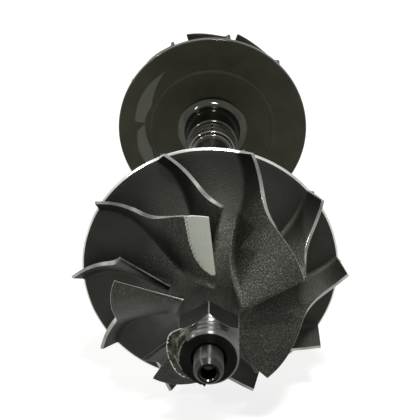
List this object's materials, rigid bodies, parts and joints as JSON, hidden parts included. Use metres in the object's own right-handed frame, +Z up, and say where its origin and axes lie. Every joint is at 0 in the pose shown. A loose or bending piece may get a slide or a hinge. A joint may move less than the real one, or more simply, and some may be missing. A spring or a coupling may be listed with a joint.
{
  "type": "turbocharger rotor",
  "caption": "Turbocharger rotor: bladed compressor wheel and turbine wheel on one shaft, with lock nut, thrust bearing, floating bushes and seal rings.",
  "frame": {"origin": "on the shaft axis, in the compressor-side face of the thrust bearing plate", "axes": "+Y along the shaft from the lock nut to the turbine wheel, +Z up"},
  "size_m": [0.0772, 0.1976, 0.0734],
  "materials": {
    "compressor_cast": "as-cast, tips machined",
    "turbine_cast": "nickel alloy casting, disc face turned",
    "shaft_steel": "ground",
    "nut_steel": "turned, ground for balance",
    "hard_steel": "hardened and ground",
    "bronze": "turned",
    "ring_iron": "turned"
  },
  "bodies": {
    "bearing_plate": {"thrust_bearing": "bronze"},
    "rotor": {"shaft": "shaft_steel", "turbine_wheel": "turbine_cast", "compressor_wheel": "compressor_cast", "lock_nut": "nut_steel", "oil_flinger": "hard_steel", "thrust_collar": "hard_steel", "thrust_washer": "hard_steel"},
    "compressor_bush": {"compressor_journal_bush": "bronze"},
    "turbine_bush": {"turbine_journal_bush": "bronze"},
    "spacer": {"bearing_spacer": "shaft_steel"},
    "turbine_ring_inner": {"turbine_seal_ring_inner": "ring_iron"},
    "turbine_ring_outer": {"turbine_seal_ring_outer": "ring_iron"},
    "compressor_ring_inner": {"compressor_seal_ring_inner": "ring_iron"},
    "compressor_ring_outer": {"compressor_seal_ring_outer": "ring_iron"}
  },
  "joints": [
    {"name": "rotor_spin", "type": "hinge", "parent": "bearing_plate", "child": "rotor", "pos_m": [0, 0, 0], "axis": [0, 1, 0], "continuous": true},
    {"name": "compressor_bush_spin", "type": "hinge", "parent": "rotor", "child": "compressor_bush", "pos_m": [0, 0.01466, 0], "axis": [0, 1, 0], "continuous": true},
    {"name": "turbine_bush_spin", "type": "hinge", "parent": "rotor", "child": "turbine_bush", "pos_m": [0, 0.03966, 0], "axis": [0, 1, 0], "continuous": true},
    {"name": "spacer_spin", "type": "hinge", "parent": "rotor", "child": "spacer", "pos_m": [0, 0.02716, 0], "axis": [0, 1, 0], "continuous": true},
    {"name": "turbine_ring_inner_spin", "type": "hinge", "parent": "rotor", "child": "turbine_ring_inner", "pos_m": [0, 0.06769, 0], "axis": [0, 1, 0], "continuous": true},
    {"name": "turbine_ring_outer_spin", "type": "hinge", "parent": "rotor", "child": "turbine_ring_outer", "pos_m": [0, 0.07069, 0], "axis": [0, 1, 0], "continuous": true},
    {"name": "compressor_ring_inner_spin", "type": "hinge", "parent": "rotor", "child": "compressor_ring_inner", "pos_m": [0, -0.00951, 0], "axis": [0, 1, 0], "continuous": true},
    {"name": "compressor_ring_outer_spin", "type": "hinge", "parent": "rotor", "child": "compressor_ring_outer", "pos_m": [0, -0.01251, 0], "axis": [0, 1, 0], "continuous": true}
  ]
}
